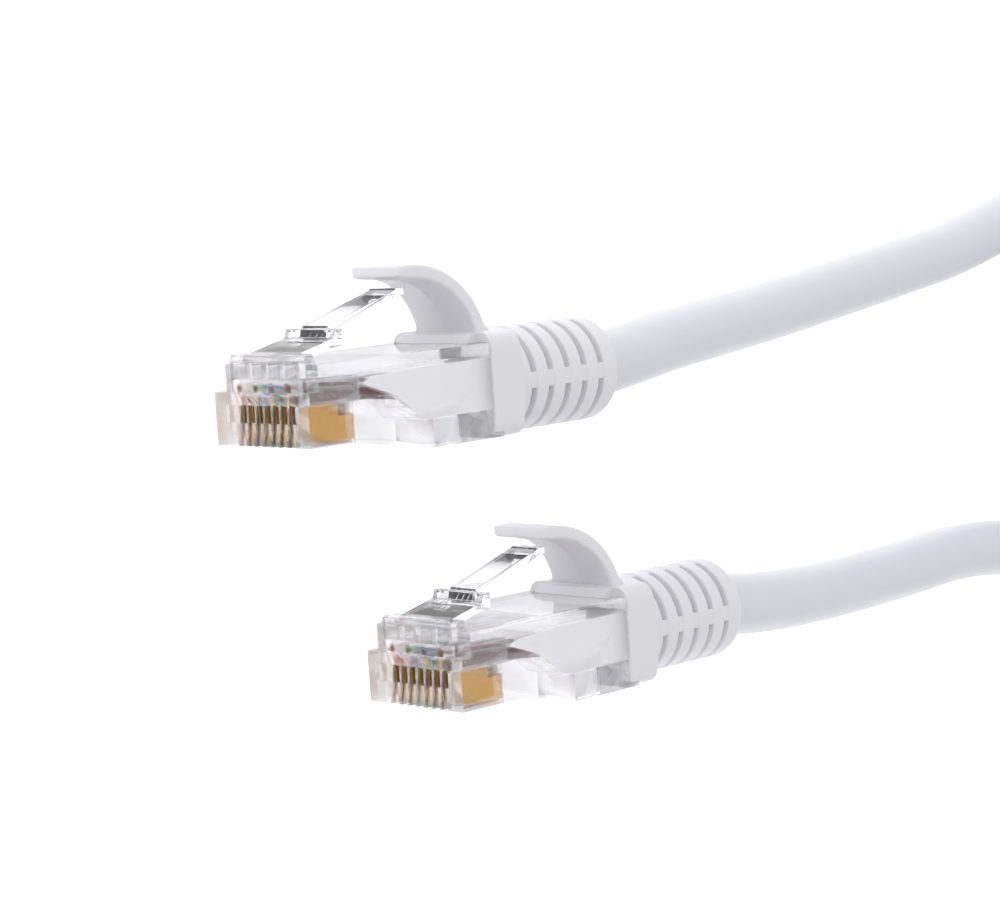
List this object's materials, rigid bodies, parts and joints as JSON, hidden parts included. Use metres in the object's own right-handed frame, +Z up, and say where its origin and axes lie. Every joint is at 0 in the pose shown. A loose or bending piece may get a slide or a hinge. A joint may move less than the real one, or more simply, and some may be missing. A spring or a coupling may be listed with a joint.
{
  "type": "ethernet patch cable",
  "caption": "Round patch cable with a clear modular network plug, sprung latch and white snagless boot on each end, its length folded in a small tied hank.",
  "frame": {"origin": "on the surface that the cable lies on, midway under the two plugs and their boots", "axes": "+X along both plugs, out of their noses; +Z up from the surface; -Y towards the latch side of both plugs"},
  "size_m": [0.2142, 0.0527, 0.0126],
  "materials": {
    "clear_plug": "moulded, polished",
    "boot_plastic": "moulded, soft satin",
    "cable_jacket": "extruded, satin",
    "tie_strap": "extruded, satin",
    "gold_contact": "gold flash over nickel",
    "copper": "bare drawn copper",
    "wire_white_orange": "extruded insulation",
    "wire_orange": "extruded insulation",
    "wire_white_green": "extruded insulation",
    "wire_blue": "extruded insulation",
    "wire_white_blue": "extruded insulation",
    "wire_green": "extruded insulation",
    "wire_white_brown": "extruded insulation",
    "wire_brown": "extruded insulation"
  },
  "bodies": {
    "cable": {"lead_a": "cable_jacket", "lead_b": "cable_jacket", "hank": "cable_jacket", "hank_tie": "tie_strap", "plug_a_housing": "clear_plug", "plug_a_wire_guide": "clear_plug", "plug_a_inner_mould": "boot_plastic", "plug_a_jacket": "cable_jacket", "plug_a_cores": "copper", "plug_a_boot": "boot_plastic", "plug_a_contact_1": "gold_contact", "plug_a_contact_2": "gold_contact", "plug_a_contact_3": "gold_contact", "plug_a_contact_4": "gold_contact", "plug_a_contact_5": "gold_contact", "plug_a_contact_6": "gold_contact", "plug_a_contact_7": "gold_contact", "plug_a_contact_8": "gold_contact", "plug_a_wire_white_orange": "wire_white_orange", "plug_a_wire_orange": "wire_orange", "plug_a_wire_white_green": "wire_white_green", "plug_a_wire_blue": "wire_blue", "plug_a_wire_white_blue": "wire_white_blue", "plug_a_wire_green": "wire_green", "plug_a_wire_white_brown": "wire_white_brown", "plug_a_wire_brown": "wire_brown", "plug_b_housing": "clear_plug", "plug_b_wire_guide": "clear_plug", "plug_b_inner_mould": "boot_plastic", "plug_b_jacket": "cable_jacket", "plug_b_cores": "copper", "plug_b_boot": "boot_plastic", "plug_b_contact_1": "gold_contact", "plug_b_contact_2": "gold_contact", "plug_b_contact_3": "gold_contact", "plug_b_contact_4": "gold_contact", "plug_b_contact_5": "gold_contact", "plug_b_contact_6": "gold_contact", "plug_b_contact_7": "gold_contact", "plug_b_contact_8": "gold_contact", "plug_b_wire_white_orange": "wire_white_orange", "plug_b_wire_orange": "wire_orange", "plug_b_wire_white_green": "wire_white_green", "plug_b_wire_blue": "wire_blue", "plug_b_wire_white_blue": "wire_white_blue", "plug_b_wire_green": "wire_green", "plug_b_wire_white_brown": "wire_white_brown", "plug_b_wire_brown": "wire_brown"},
    "latch_a": {"plug_a_latch": "clear_plug"},
    "hood_a": {"plug_a_hood": "boot_plastic"},
    "latch_b": {"plug_b_latch": "clear_plug"},
    "hood_b": {"plug_b_hood": "boot_plastic"}
  },
  "joints": [
    {"name": "hood_press_a", "type": "hinge", "parent": "cable", "child": "hood_a", "pos_m": [0.0046, -0.0134, 0.00615], "axis": [0, 0, 1], "range_deg": [0, 21.5], "stiffness_Nm_per_rad": 0.02},
    {"name": "latch_press_a", "type": "hinge", "parent": "cable", "child": "latch_a", "pos_m": [0.0245, -0.01315, 0.00615], "axis": [0, 0, -1], "range_deg": [0, 10], "stiffness_Nm_per_rad": 0.01},
    {"name": "hood_press_b", "type": "hinge", "parent": "cable", "child": "hood_b", "pos_m": [-0.01, 0.0106, 0.00615], "axis": [0, 0, 1], "range_deg": [0, 21.5], "stiffness_Nm_per_rad": 0.02},
    {"name": "latch_press_b", "type": "hinge", "parent": "cable", "child": "latch_b", "pos_m": [0.0099, 0.01085, 0.00615], "axis": [0, 0, -1], "range_deg": [0, 10], "stiffness_Nm_per_rad": 0.01}
  ],
  "couplings": [
    {"joint": "latch_press_a", "follows": "hood_press_a", "ratio": 0.45},
    {"joint": "latch_press_b", "follows": "hood_press_b", "ratio": 0.45}
  ]
}
